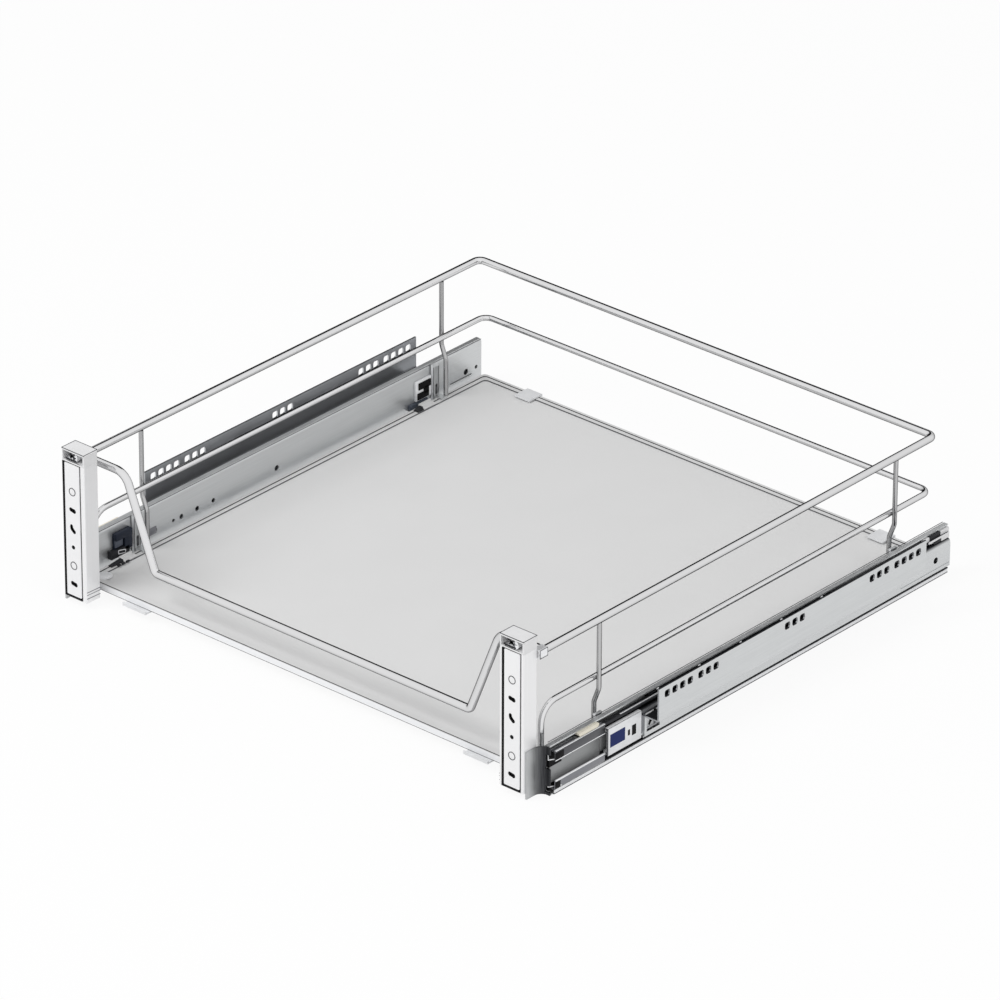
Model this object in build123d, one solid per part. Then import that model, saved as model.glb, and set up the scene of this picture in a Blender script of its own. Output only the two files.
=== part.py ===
from build123d import *
import os

# pull-out basket drawer on soft-close telescopic ball-bearing runners
# all sizes in millimetres, +Z up, the drawer opens toward -Y

# cabinet and runner sizes
mount_face_x = 282.0
runner_length = 502.0
runner_front_y = 19.8
rail_height = 45.0
rail_mid_z = rail_height / 2
rail_inner_x = 254.8
rail_sheet = 1.2
drawer_flange_x = 260.6

# intermediate rail
middle_web_x = 257.1
middle_half_height = 17.5
middle_flange_x = 264.0
middle_front_y = 38.0
rail_rear_y = 519.0

# cabinet rail
cabinet_face_x = 265.8
cabinet_half_height = 12.6
cabinet_flange_tip_x = 259.6
cabinet_front_y = 23.0
cabinet_bend = 4.0

# ball rows
ball_r = 1.8
outer_ball_x = 259.2
outer_ball_z = 19.4
inner_ball_x = 260.8
inner_ball_z = 14.45
cage_sheet = 0.5
cage_front_y = 140.0
cage_rear_y = 370.0
cage_overhang = 1.5
outer_cage_web_x = 256.5
inner_cage_web_x = 258.85
balls_per_row = 5

# mounting plate that stands off the cabinet rail
plate_sheet = 1.5
plate_front_y = 127.4
plate_rear_y = 466.1
plate_top_z = 59.2
plate_step_z = 29.0
plate_low_z = 11.0
slot_width = 6.6
slot_height = 6.4
slot_corner_r = 2.0
slot_mid_z = plate_top_z - 7.0
slot_pitch = 9.4
plate_mid_y = (plate_front_y + plate_rear_y) / 2

# soft-close unit
housing_front_y = 86.0
housing_rear_y = 152.0
housing_half_height = 11.0
window_front_y = 130.0
window_rear_y = 146.0
window_half_height = 8.0
housing_wall = 1.6
catch_tab_x = 260.9
catch_face_x = 262.2

# basket rails
wire_span_x = 250.0
top_rail_r = 3.2
top_rail_z = 126.2
top_rail_back_y = 513.5
lower_rail_r = 2.5
lower_rail_x = 245.0
lower_rail_z = 72.6
lower_rail_back_y = 515.6
lower_leg_y = 27.0
stay_r = 2.0
stay_top_x = 249.5
stay_foot_x = 244.5
stay_front_y = 91.7
stay_rear_y = 464.1
dip_r = 3.5
dip_y = 25.3
dip_top_x = 204.1
dip_low_x = 172.0
dip_top_z = 124.9
dip_low_z = 43.5

# base tray
base_half_width = 248.0
base_front_y = 20.5
base_rear_y = 518.0
base_low_z = 9.4
base_top_z = 15.4
base_border = 8.0
base_sheet = 1.2
panel_clearance = 0.3

# uprights
fixing_face_y = -1.2
upright_outer_x = 251.0
upright_inner_x = 225.6
upright_front_y = fixing_face_y + 0.5
upright_rear_y = 15.4
upright_low_z = 6.2
upright_top_z = 131.4
upright_wall = 1.5
front_wall = 2.6
recess_depth = 1.0
collar_rear_y = 24.6

# fixing plate with its row of openings, and the seal that shows beside and below it
fixing_x = 239.2
fixing_half_width = 8.1
seal_width = 2.8
plate_gap = 1.2
plate_thickness = 0.7
rivet_head_r = 3.3
rivet_head_depth = 0.4
rivet_shank_r = 1.6
rivet_places = (0, 4)
flat_slot_places = (1, 5)
flat_slot_length = 7.0
flat_slot_r = 1.7
cap_top_z = 142.8

middle_y = (fixing_face_y + runner_front_y + runner_length) / 2


def box_between(x0, x1, y0, y1, z0, z1):
    """Block given by two opposite corners."""
    middle = Pos((x0 + x1) / 2, (y0 + y1) / 2, (z0 + z1) / 2)
    return middle * Box(abs(x1 - x0), abs(y1 - y0), abs(z1 - z0))


def bent_path(points, bends):
    """Wire through corner points, each inner corner rounded to its bend radius."""
    corners = [Vector(*p) for p in points]
    edges = []
    last = corners[0]
    for before, corner, after, bend in zip(corners, corners[1:], corners[2:], bends):
        to_before = (before - corner).normalized()
        to_after = (after - corner).normalized()
        cosine = to_before.dot(to_after)
        sin_half = ((1 - cosine) / 2) ** 0.5
        cos_half = ((1 + cosine) / 2) ** 0.5
        run = bend * cos_half / sin_half
        bisector = (to_before + to_after).normalized()
        arc_start = corner + to_before * run
        arc_end = corner + to_after * run
        arc_middle = corner + bisector * (bend / sin_half - bend)
        edges.append(Line(last, arc_start).edge())
        edges.append(ThreePointArc(arc_start, arc_middle, arc_end).edge())
        last = arc_end
    edges.append(Line(last, corners[-1]).edge())
    return Wire(edges)


def bent_wire(points, bends, radius):
    """Round wire bent along a path."""
    path = bent_path(points, bends)
    section = Plane(origin=path @ 0, z_dir=path % 0) * Circle(radius)
    return sweep(section, path=path)


def group(pieces):
    """Several separate solids kept as one piece."""
    return Compound([solid for piece in pieces for solid in piece.solids()])


def folded_strip(points, bends, sheet, y_front, y_rear):
    """Sheet section in X and Z, drawn as its middle line, run along Y."""
    path = bent_path([(x, y_front, z) for x, z in points], bends)
    start = Plane(origin=path @ 0, x_dir=(0, 1, 0), z_dir=path % 0)
    edge = start * Rectangle(y_rear - y_front, sheet, align=(Align.MIN, Align.CENTER))
    return sweep(edge, path=path)


def hole_along_x(x, y, z, radius, length):
    """Round cutter with its axis along X."""
    return Pos(x, y, z) * Rot(0, 90, 0) * Cylinder(radius, length)


def hole_along_y(x, y, z, radius, length):
    """Round cutter with its axis along Y."""
    return Pos(x, y, z) * Rot(90, 0, 0) * Cylinder(radius, length)


def slot_along_x(x, y, z, height, width, length):
    """Upright slot cutter with its depth along X."""
    section = Plane.YZ * SlotOverall(height, width, rotation=90)
    return Pos(x - length / 2, y, z) * extrude(section, amount=length)


def channel(web_x, half_height, tip_x, sheet, lip, bends, y_front, y_rear):
    """C section open along X, mid-height on the runner centre line; lip turns toward the middle."""
    side = 1 if tip_x > web_x else -1
    web = web_x + side * sheet / 2
    edge = half_height - sheet / 2
    tip = tip_x - side * sheet / 2
    top = rail_mid_z + edge
    low = rail_mid_z - edge
    points = [(web, low), (web, top)]
    points = [(tip, low)] + points + [(tip, top)]
    radii = [bends, bends]
    if lip:
        points = [(tip, low + lip)] + points + [(tip, top - lip)]
        radii = [sheet * 0.8] + radii + [sheet * 0.8]
    else:
        points[0] = (tip_x, low)
        points[-1] = (tip_x, top)
    return folded_strip(points, radii, sheet, y_front, y_rear)


def make_drawer_rail():
    """Outer moving rail: tall C section, open toward the cabinet wall."""
    rear = runner_front_y + runner_length
    tip = drawer_flange_x
    rail = channel(rail_inner_x, rail_height / 2, tip, rail_sheet, 0, 1.8, runner_front_y, rear)
    hole_z = rail_mid_z - 2.0
    cutters = []
    front_holes = [(134, 1.6), (143.7, 2.3), (162.8, 2.3), (182.6, 2.0)]
    rear_holes = [(260.9, 2.6), (501.7, 2.8), (515.0, 1.8)]
    for y, radius in front_holes + rear_holes:
        cutters.append(hole_along_x(rail_inner_x, y, hole_z, radius, 6))
    cutters.append(box_between(rail_inner_x - 3, rail_inner_x + 3, 103, 114, hole_z - 2.2, hole_z + 1.2))
    cutters.append(box_between(rail_inner_x - 3, rail_inner_x + 3, 481, 509, 15.6, 16.6))
    return rail - cutters


def make_middle_rail():
    """Rail between the two ball rows; a lanced tab works the soft-close catch."""
    tip = middle_flange_x
    rail = channel(middle_web_x, middle_half_height, tip, rail_sheet, 1.2, 1.6, middle_front_y, rail_rear_y)
    tab = box_between(middle_web_x + rail_sheet, catch_tab_x, 135, 139, rail_mid_z - 3, rail_mid_z + 3)
    return rail + tab


def make_cabinet_rail():
    """Fixed rail, open toward the drawer, with the catch window and fixing holes."""
    tip = cabinet_flange_tip_x
    rail = channel(
        cabinet_face_x, cabinet_half_height, tip, rail_sheet, 0, cabinet_bend, cabinet_front_y, rail_rear_y
    )
    face = cabinet_face_x
    low = rail_mid_z - window_half_height
    high = rail_mid_z + window_half_height
    window = box_between(face - 3, face + 3, window_front_y, window_rear_y, low, high)
    small_slot = slot_along_x(face, 108.5, rail_mid_z - 0.5, 6.0, 2.4, 6)
    wide_slot = slot_along_x(face, 113.5, rail_mid_z, 9.0, 4.0, 6)
    rear_hole = hole_along_x(face, 500, rail_mid_z - 1.5, 2.8, 6)
    return rail - [window, small_slot, wide_slot, rear_hole]


def slot_rows():
    """Y positions of the upright slots: 4 and 3, then 3, then 3 and 4, mirrored about the middle."""
    first = plate_front_y + 10.2
    front = [first + i * slot_pitch for i in range(4)]
    front += [front[-1] + 13.2 + i * slot_pitch for i in range(3)]
    rear = [2 * plate_mid_y - y for y in front]
    middle = [plate_mid_y + i * slot_pitch for i in (-1, 0, 1)]
    return front + middle + rear


def make_mounting_plate():
    """Stepped plate: upper leg with slots on the cabinet wall, lower leg welded to the cabinet rail."""
    upper = mount_face_x - plate_sheet / 2
    lower = cabinet_face_x + plate_sheet / 2
    step = plate_step_z + plate_sheet / 2
    points = [(lower, plate_low_z), (lower, step), (upper, step), (upper, plate_top_z)]
    plate = folded_strip(points, [1.6, 1.6], plate_sheet, plate_front_y, plate_rear_y)
    opening = extrude(Plane.YZ * RectangleRounded(slot_width, slot_height, slot_corner_r), amount=6)
    cutters = [Pos(upper - 3, y, slot_mid_z) * opening for y in slot_rows()]
    low = rail_mid_z - window_half_height
    cutters.append(box_between(lower - 3, lower + 3, window_front_y, window_rear_y, low, plate_step_z - 0.6))
    tail = box_between(lower - 3, upper - 2.4, plate_rear_y - 14, plate_rear_y + 5, 0, step + 2)
    return plate - cutters - tail


def make_soft_close_housing():
    """Damper housing inside the cabinet rail, open toward the middle rail."""
    face = cabinet_face_x - rail_sheet
    floor = face - housing_wall
    low = rail_mid_z - housing_half_height
    high = rail_mid_z + housing_half_height
    body = box_between(cabinet_flange_tip_x + 0.2, face, housing_front_y, housing_rear_y, low, high)
    body = fillet(body.edges().filter_by(Axis.Y).group_by(Axis.X)[-1], cabinet_bend - 0.5)
    track = box_between(0, floor, housing_front_y - 5, housing_rear_y - 2, low + 2.4, high - 2.4)
    window = box_between(face - 5, face + 5, window_front_y, window_rear_y, low + 3, high - 3)
    ribs = []
    for y in (94, 100, 106, 112, 118, 124):
        ribs.append(box_between(floor - 0.5, floor, y - 0.6, y + 0.6, low + 2.4, high - 2.4))
    return body - track - window + ribs


def make_catch():
    """Forked slider that takes the tab of the middle rail between its prongs."""
    low = rail_mid_z
    x0 = cabinet_flange_tip_x + 0.3
    x1 = catch_face_x
    body = box_between(x0, x1, 131.5, 144.5, low - 8.2, low + 8.2)
    throat = box_between(x0 - 1, x1 + 1, 128, 147, low - 3.6, low + 3.6)
    bridge = box_between(x1 - 0.9, x1, 131.5, 144.5, low - 3.6, low + 3.6)
    return body - throat + bridge


def make_cage(web_x, ball_x, ball_z):
    """Thin retainer joining the upper and lower ball rows."""
    tip = ball_x + cage_overhang
    top = rail_mid_z + ball_z
    low = rail_mid_z - ball_z
    points = [(tip, low), (web_x, low), (web_x, top), (tip, top)]
    cage = folded_strip(points, [0.9, 0.9], cage_sheet, cage_front_y, cage_rear_y)
    pockets = []
    for y in ball_rows():
        for z in (low, top):
            pockets.append(Pos(ball_x, y, z) * Cylinder(ball_r + 0.08, 3))
    for y in (cage_front_y + 46, cage_rear_y - 46):
        opening = Plane.YZ * RectangleRounded(60, 2 * ball_z - 10, 4)
        pockets.append(Pos(web_x - 2, y, rail_mid_z) * extrude(opening, amount=4))
    return cage - pockets


def ball_rows():
    """Y positions of the balls in one row."""
    step = (cage_rear_y - cage_front_y - 24) / (balls_per_row - 1)
    return [cage_front_y + 12 + i * step for i in range(balls_per_row)]


def make_balls(ball_x, ball_z):
    """Two rows of balls, each ball its own solid."""
    balls = []
    for y in ball_rows():
        for z in (rail_mid_z - ball_z, rail_mid_z + ball_z):
            balls.append(Pos(ball_x, y, z) * Sphere(ball_r))
    return group(balls)


def make_rear_stop():
    """Plastic clip on the rear end of the middle rail, above and below its upper flange."""
    flange = rail_mid_z + middle_half_height
    above = box_between(258.4, 262.4, 489, 517, flange, flange + 3.2)
    below = box_between(259.2, 262.4, 497, 517, flange - rail_sheet - 2.8, flange - rail_sheet)
    end = box_between(258.4, 262.4, rail_rear_y, rail_rear_y + 2, flange - rail_sheet - 2.8, flange + 3.2)
    joint = box_between(258.4, 262.4, 517, rail_rear_y, flange, flange + 3.2)
    lower_joint = box_between(259.2, 262.4, 517, rail_rear_y, flange - rail_sheet - 2.8, flange - rail_sheet)
    return above + below + joint + lower_joint + end


def make_front_stop():
    """Two rubber blocks on the web of the drawer rail that the middle rail closes against."""
    x0 = rail_inner_x + rail_sheet
    upper = box_between(x0, x0 + 3.0, 21, 36, rail_mid_z + 2, rail_mid_z + 15)
    lower = box_between(x0, x0 + 3.0, 21, 32, rail_mid_z - 19, rail_mid_z - 13)
    return group([upper, lower])


def make_guide_pad():
    """Pale plastic pad under the upper flange of the drawer rail, with its edge standing out."""
    top = rail_height - rail_sheet
    pad = box_between(258.2, 263.6, 52, 76, top - 3.0, top)
    return chamfer(pad.edges().filter_by(Axis.X).group_by(Axis.Z)[0], 1.2)


def make_front_bracket():
    """Curved plate that joins the upright to the front end of the drawer rail."""
    sheet = 1.6
    edge = upright_outer_x + sheet / 2
    rear = runner_front_y - sheet / 2
    path = bent_path([(edge, 1.5, 1.2), (edge, rear, 1.2), (262.0, rear, 1.2)], [8.0])
    start = Plane(origin=path @ 0, x_dir=(0, 0, 1), z_dir=path % 0)
    section = start * Rectangle(rail_height - 2.4, sheet, align=(Align.MIN, Align.CENTER))
    plate = sweep(section, path=path)
    window_top = box_between(257.5, 265, 10, 30, rail_mid_z + 2, rail_mid_z + 15)
    window_low = box_between(257.5, 265, 10, 30, rail_mid_z - 19, rail_mid_z - 13)
    return plate - window_top - window_low


def make_top_rail():
    """Upper basket rail, bent round the back with tight corners."""
    z = top_rail_z
    x = wire_span_x
    front = upright_rear_y
    points = [(-x, front, z), (-x, top_rail_back_y, z), (x, top_rail_back_y, z), (x, front, z)]
    return bent_wire(points, [6.5, 6.5], top_rail_r)


def make_lower_rail():
    """Second basket rail; both front ends turn down to the tray."""
    x = lower_rail_x
    z = lower_rail_z
    back = lower_rail_back_y
    foot = base_top_z
    left = [(-x, lower_leg_y, foot), (-x, lower_leg_y, z), (-x, back, z)]
    right = [(x, back, z), (x, lower_leg_y, z), (x, lower_leg_y, foot)]
    return bent_wire(left + right, [17, 9, 9, 17], lower_rail_r)


def make_stay(y):
    """Upright wire from the top rail to the tray, cranked inward below the lower rail."""
    top = top_rail_z - top_rail_r + 0.15
    outer = stay_top_x
    inner = stay_foot_x
    points = [(outer, y, top), (outer, y, 63.5), (inner, y, 50), (inner, y, base_top_z)]
    return bent_wire(points, [8, 8], stay_r)


def make_dip_rail(cutters):
    """Front rail that dips down between the uprights; its ends are coped to the top rail and collars."""
    end = wire_span_x - 1.5
    y = dip_y
    left = [(-end, y, dip_top_z), (-dip_top_x, y, dip_top_z), (-dip_low_x, y, dip_low_z)]
    right = [(dip_low_x, y, dip_low_z), (dip_top_x, y, dip_top_z), (end, y, dip_top_z)]
    return bent_wire(left + right, [15, 5, 5, 15], dip_r) - cutters


def make_collar(x):
    """Square collar where the top rail enters the rear of the upright."""
    half = 3.9
    low = top_rail_z - half
    block = box_between(x - half, x + half, upright_rear_y, collar_rear_y, low, low + 2 * half)
    block = chamfer(block.edges().filter_by(Axis.Y), 0.8)
    return block - hole_along_y(x, upright_rear_y, top_rail_z, top_rail_r, 30)


def make_base_frame():
    """Folded steel frame that grips the edge of the floor panel."""
    w = base_half_width
    ring = box_between(-w, w, base_front_y, base_rear_y, base_low_z, base_top_z)
    ring = fillet(ring.edges().filter_by(Axis.Z), 4)
    inner = w - base_border
    front = base_front_y + base_border
    rear = base_rear_y - base_border
    opening = box_between(-inner, inner, front, rear, 0, 30)
    opening = fillet(opening.edges().filter_by(Axis.Z), 3)
    edge = w - base_sheet
    groove = box_between(
        -edge,
        edge,
        base_front_y + base_sheet,
        base_rear_y - base_sheet,
        base_low_z + base_sheet,
        base_top_z - base_sheet,
    )
    ring = ring - opening - groove
    return fillet(ring.edges().group_by(Axis.Z)[-1], 0.5)


def make_base_panel():
    """Flat floor panel held by its edge."""
    w = base_half_width - base_sheet - panel_clearance
    front = base_front_y + base_sheet + panel_clearance
    rear = base_rear_y - base_sheet - panel_clearance
    panel = box_between(-w, w, front, rear, base_low_z + base_sheet + 0.05, base_top_z - base_sheet - 0.05)
    return fillet(panel.edges().filter_by(Axis.Z), 5)


def make_panel_clips():
    """Four edge clips: two over the rear border, two under the front border."""
    clips = []
    for x in (-191, 199):
        top = box_between(x - 8.5, x + 8.5, 502, base_rear_y + 1.4, base_top_z, base_top_z + 1.4)
        back = box_between(x - 8.5, x + 8.5, base_rear_y, base_rear_y + 1.4, base_low_z, base_top_z + 1.4)
        clips.append(top + back)
    for x in (-187, 187):
        low = box_between(x - 13, x + 13, 14.5, 40, base_low_z - 1.4, base_low_z)
        lip = box_between(x - 13, x + 13, 14.5, 15.9, base_low_z - 1.4, base_low_z + 1.6)
        clips.append(low + lip)
    return group(clips)


def make_upright(side):
    """Hollow upright with a shallow recess for the seal and the fixing plate."""
    x0, x1 = sorted((side * upright_inner_x, side * upright_outer_x))
    post = box_between(x0, x1, upright_front_y, upright_rear_y, upright_low_z, upright_top_z)
    post = fillet(post.edges().filter_by(Axis.Z), 1.0)
    front = upright_front_y + front_wall
    core = box_between(x0 + upright_wall, x1 - upright_wall, front, upright_rear_y - upright_wall, 0, 200)
    recess = box_between(
        side * fixing_x - fixing_half_width - seal_width - 0.1,
        side * fixing_x + fixing_half_width + plate_gap,
        fixing_face_y - 1,
        upright_front_y + recess_depth,
        upright_low_z + 0.4,
        upright_top_z + 1,
    )
    return post - core - recess - fixing_cutters(side, 8)


def fixing_cutters(side, length):
    """The row of six openings: rivet, slot, kidney, small hole, rivet, slot."""
    x = side * fixing_x
    middle = fixing_face_y + length / 2 - 1
    start = fixing_face_y + length - 1
    flat_slot = Plane.XZ * SlotOverall(flat_slot_length, 2 * flat_slot_r)
    kidney = Plane.XZ * SlotArc(CenterArc((1.4, 1.2), 3.4, 165, 110), 2.5)
    cutters = [
        hole_along_y(x, middle, fixing_row_z(3), 1.5, length),
        Pos(x, start, fixing_row_z(2)) * extrude(kidney, amount=length),
    ]
    for place in rivet_places:
        cutters.append(hole_along_y(x, middle, fixing_row_z(place), rivet_shank_r + 0.05, length))
    for place in flat_slot_places:
        cutters.append(Pos(x, start, fixing_row_z(place)) * extrude(flat_slot, amount=length))
    return cutters


def fixing_row_z(place):
    """Height of one opening, counted from the top of the row."""
    return upright_low_z + 99.3 - place * 17.08


def make_gasket(side):
    """Black seal that shows as a line on the left and lower edges of the fixing plate."""
    left = side * fixing_x - fixing_half_width - seal_width
    right = side * fixing_x + fixing_half_width
    front = upright_front_y + 0.2
    rear = upright_front_y + recess_depth
    seal = box_between(left, right, front, rear, upright_low_z + 0.5, upright_top_z - 0.4)
    return seal - fixing_cutters(side, 8)


def make_fixing_plate(side):
    """Front plate with the row of openings; the rivet heads sit in round seats, flush with its face."""
    x = side * fixing_x
    rear = fixing_face_y + plate_thickness
    low = upright_low_z + 2.9
    high = upright_top_z - 0.6
    plate = box_between(x - fixing_half_width, x + fixing_half_width, fixing_face_y, rear, low, high)
    plate = fillet(plate.edges().filter_by(Axis.Y), 0.8)
    seats = []
    for place in rivet_places:
        middle = fixing_face_y + rivet_head_depth / 2
        seats.append(hole_along_y(x, middle, fixing_row_z(place), rivet_head_r + 0.35, rivet_head_depth))
    return plate - fixing_cutters(side, 8) - seats


def make_rivets():
    """Flush rivets through plate, seal and front wall, set over inside the upright."""
    inside = upright_front_y + front_wall
    outline = [
        (0, fixing_face_y),
        (rivet_head_r, fixing_face_y),
        (rivet_head_r, fixing_face_y + rivet_head_depth),
        (rivet_shank_r, fixing_face_y + rivet_head_depth),
        (rivet_shank_r, inside),
        (2.6, inside),
        (2.2, inside + 1.2),
        (0, inside + 1.2),
    ]
    rivet = revolve(Plane.XY * make_face(Polyline(*outline, close=True)), axis=Axis.Y)
    heights = [fixing_row_z(place) for place in rivet_places]
    return group([Pos(x, 0, z) * rivet for x in (fixing_x, -fixing_x) for z in heights])


def make_cap(side):
    """Hollow cap on the upright, open at the front."""
    x0, x1 = sorted((side * upright_inner_x, side * upright_outer_x))
    body = box_between(x0, x1, upright_front_y, upright_rear_y, upright_top_z, cap_top_z)
    body = fillet(body.edges().filter_by(Axis.Z), 1.0)
    roof = box_between(x0 - 0.4, x1 + 0.4, fixing_face_y, upright_rear_y + 0.5, cap_top_z - 1.4, cap_top_z)
    roof = fillet(roof.edges().filter_by(Axis.Z), 2.0)
    floor = upright_top_z + 1.2
    mouth = box_between(x0 + 1.6, x1 - 1.6, fixing_face_y - 1, upright_rear_y - 1.8, floor, cap_top_z - 1.4)
    body = body + roof - mouth
    return chamfer(body.edges().filter_by(Axis.Y).group_by(Axis.Z)[-1], 0.6)


def make_adjuster(side):
    """Cam screw in the cap with a cross recess and a driving lug."""
    x = side * fixing_x
    z = upright_top_z + 1.2 + 4.3
    front = upright_front_y + 1.0
    drum = hole_along_y(x + 1.0, front + 5.5, z, 4.2, 11.0)
    first = box_between(x - 2.0, x + 4.0, front - 1, front + 2.2, z - 0.6, z + 0.6)
    second = box_between(x + 0.4, x + 1.6, front - 1, front + 2.2, z - 3.0, z + 3.0)
    lug = box_between(x - 7.2, x - 2.0, front + 2.5, front + 9.5, upright_top_z + 1.2, upright_top_z + 3.4)
    return drum - first - second + lug


def make_hanger(y):
    """Upright channel that carries the tray on the web of the drawer rail."""
    web = rail_inner_x
    inner = web - 4.4
    low = 10.6
    top = 46.0
    channel_box = box_between(inner, web, y, y + 6.4, low, top)
    hollow = box_between(inner + 1.2, web + 1, y + 1.2, y + 5.2, low - 1, top - 1.2)
    channel_box = chamfer(channel_box.edges().filter_by(Axis.Y).group_by(Axis.Z)[-1].sort_by(Axis.X)[0], 2.4)
    slot = slot_along_x(inner, y + 3.2, 22.0, 10.0, 2.6, 4)
    foot = box_between(base_half_width - base_border + 1, inner, y, y + 6.4, base_top_z, base_top_z + 1.4)
    return channel_box - hollow - slot + foot


def make_rear_hook():
    """Plastic hook plate on the rail web beside the rear hanger."""
    points = [(438, 22.5), (438, 32), (447, 41), (454.9, 43), (454.9, 17.5), (441, 17.5)]
    x0 = rail_inner_x - 3.4
    outline = Plane.YZ * make_face(Polyline(*points, close=True))
    plate = Pos(x0, 0, 0) * extrude(outline, amount=3.4)
    groove = box_between(x0 - 1, x0 + 1.2, 443, 460, 29.0, 30.6)
    lower_groove = box_between(x0 - 1, x0 + 1.2, 446, 460, 23.5, 25.0)
    block = box_between(x0 + 0.6, rail_inner_x, 426, 454.9, 11.4, 17.5)
    return plate - groove - lower_groove + block


def make_front_latch():
    """Sprung plastic latch with a finger recess, sliding on the rail web."""
    x0 = rail_inner_x - 4.2
    x1 = rail_inner_x - 0.15
    points = [(60, 16.5), (60, 33), (64, 37.5), (82.6, 37.5), (82.6, 16.5)]
    outline = Plane.YZ * make_face(Polyline(*points, close=True))
    body = Pos(x0, 0, 0) * extrude(outline, amount=x1 - x0)
    finger = box_between(x0 - 1, x0 + 2.4, 70, 80, 22, 34)
    finger = fillet(finger.edges().filter_by(Axis.X), 1.5)
    heel = box_between(x0 - 1.2, x0, 61, 67, 17.5, 24)
    notch = box_between(x0 - 2, x0 + 1, 72, 79, 18, 19.4)
    return body - finger - notch + heel


def make_side_keepers():
    """Small folded keepers on the side borders of the tray, ahead of the hangers."""
    x1 = base_half_width - 0.4
    x0 = base_half_width - base_border + 0.5
    keepers = []
    for y in (60, 432):
        plate = box_between(x0, x1, y, y + 15, base_top_z, base_top_z + 1.2)
        rib = box_between(x1 - 1.2, x1, y, y + 15, base_top_z, base_top_z + 3.0)
        keepers.append(plate + rib)
        keepers.append(mirrored(plate + rib))
    return group(keepers)


def make_keeper_wedges():
    """Sloping plastic wedges pushed under the front edge of the keepers."""
    keepers = []
    for y, length in ((60, 14), (432, 8)):
        tip = y - length
        outline = [(y, base_top_z), (y, base_top_z + 2.4), (tip, base_top_z + 0.8), (tip, base_top_z)]
        face = Plane.YZ * make_face(Polyline(*outline, close=True))
        wedge = Pos(base_half_width - base_border + 2.0, 0, 0) * extrude(face, amount=4.0)
        keepers.append(wedge)
        keepers.append(mirrored(wedge))
    return group(keepers)


def mirrored(shape):
    """The same piece for the other side."""
    return mirror(shape, Plane.YZ)


def save(name, shape):
    """Write one piece with the origin under the middle of the drawer."""
    export_step(Pos(0, -middle_y, 0) * shape, "parts/" + name + ".step")


def save_pair(name, shape):
    """Write the right-hand piece and its mirror image."""
    save(name + "_right", shape)
    save(name + "_left", mirrored(shape))


def main():
    os.makedirs("parts", exist_ok=True)
    save_pair("drawer_rail", make_drawer_rail())
    save_pair("middle_rail", make_middle_rail())
    save_pair("cabinet_rail", make_cabinet_rail())
    save_pair("mounting_plate", make_mounting_plate())
    save_pair("soft_close_housing", make_soft_close_housing())
    save_pair("soft_close_catch", make_catch())
    save_pair("outer_ball_cage", make_cage(outer_cage_web_x, outer_ball_x, outer_ball_z))
    save_pair("outer_balls", make_balls(outer_ball_x, outer_ball_z))
    save_pair("inner_ball_cage", make_cage(inner_cage_web_x, inner_ball_x, inner_ball_z))
    save_pair("inner_balls", make_balls(inner_ball_x, inner_ball_z))
    save_pair("rear_stop", make_rear_stop())
    save_pair("front_stop", make_front_stop())
    save_pair("guide_pad", make_guide_pad())
    save_pair("front_bracket", make_front_bracket())
    save_pair("front_hanger", make_hanger(83.0))
    save_pair("rear_hanger", make_hanger(455.3))
    save_pair("rear_hook", make_rear_hook())
    save_pair("front_latch", make_front_latch())
    save_pair("front_stay", make_stay(stay_front_y))
    save_pair("rear_stay", make_stay(stay_rear_y))
    save("top_rail", make_top_rail())
    save("lower_rail", make_lower_rail())
    collars = [make_collar(wire_span_x), make_collar(-wire_span_x)]
    save("rail_collars", group(collars))
    save("front_dip_rail", make_dip_rail(collars + [make_top_rail()]))
    save("base_frame", make_base_frame())
    save("base_panel", make_base_panel())
    save("panel_clips", make_panel_clips())
    save("side_keepers", make_side_keepers())
    save("keeper_wedges", make_keeper_wedges())
    save("plate_rivets", make_rivets())
    for name, side in (("right", 1), ("left", -1)):
        save("upright_" + name, make_upright(side))
        save("gasket_" + name, make_gasket(side))
        save("fixing_plate_" + name, make_fixing_plate(side))
        save("upright_cap_" + name, make_cap(side))
        save("adjuster_" + name, make_adjuster(side))


if __name__ == "__main__":
    main()
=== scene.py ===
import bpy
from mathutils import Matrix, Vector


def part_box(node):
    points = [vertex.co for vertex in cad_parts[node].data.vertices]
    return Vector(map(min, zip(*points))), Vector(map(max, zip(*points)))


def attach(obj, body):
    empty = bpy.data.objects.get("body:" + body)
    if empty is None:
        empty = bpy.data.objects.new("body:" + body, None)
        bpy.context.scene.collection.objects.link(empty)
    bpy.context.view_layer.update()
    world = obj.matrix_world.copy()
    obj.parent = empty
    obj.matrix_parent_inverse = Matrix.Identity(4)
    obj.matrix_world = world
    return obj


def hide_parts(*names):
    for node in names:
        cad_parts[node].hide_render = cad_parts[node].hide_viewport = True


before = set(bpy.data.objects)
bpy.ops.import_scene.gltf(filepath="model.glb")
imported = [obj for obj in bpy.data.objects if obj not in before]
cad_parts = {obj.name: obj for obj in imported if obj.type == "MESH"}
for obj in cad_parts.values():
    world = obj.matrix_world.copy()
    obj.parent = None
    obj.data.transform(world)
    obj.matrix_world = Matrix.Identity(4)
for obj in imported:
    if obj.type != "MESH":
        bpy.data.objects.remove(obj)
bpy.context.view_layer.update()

import math

import bmesh
import bpy
from bpy.props import FloatProperty, FloatVectorProperty, IntProperty, PointerProperty
from mathutils import Matrix, Vector

bl_info = {
    "name": "Pull-out Basket Drawer",
    "version": (1, 0, 0),
    "blender": (4, 5, 0),
    "location": "View3D > Sidebar > Basket Drawer",
    "description": "Dresses a pull-out basket drawer and sets up its studio",
    "category": "Add Mesh",
}

MM = 0.001
SIDES = ("right", "left")
SIGN = {"right": 1, "left": -1}
# depths in the code are measured from the front of the cabinet, this far from the frame's origin
FRONT_DEPTH = -260.3
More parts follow.
